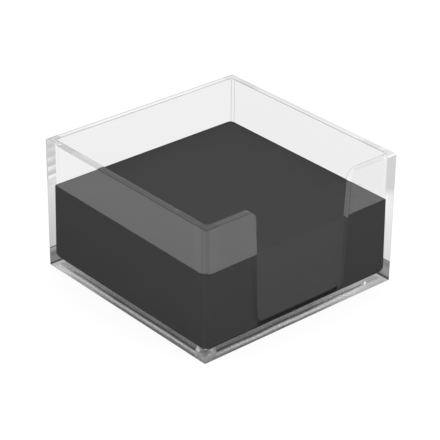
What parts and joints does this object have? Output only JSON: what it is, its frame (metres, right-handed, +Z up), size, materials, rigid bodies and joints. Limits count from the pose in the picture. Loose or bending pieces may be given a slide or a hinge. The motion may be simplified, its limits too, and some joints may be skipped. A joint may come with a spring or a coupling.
{
  "type": "memo holder",
  "caption": "Clear square tub for loose memo sheets, with a coved floor, a finger notch in the front wall and a stack of dark grey sheets inside.",
  "frame": {"origin": "centre of the flat underside, on the desk", "axes": "+Z up towards the rim; the wall with the finger notch faces -Y; +X to the right as seen from the notch"},
  "size_m": [0.1, 0.1, 0.0585],
  "materials": {
    "clear_plastic": "clear, polished",
    "grey_paper": "matt, uncoated"
  },
  "bodies": {
    "root": {"holder": "clear_plastic", "memo_sheets": "grey_paper"}
  },
  "joints": []
}
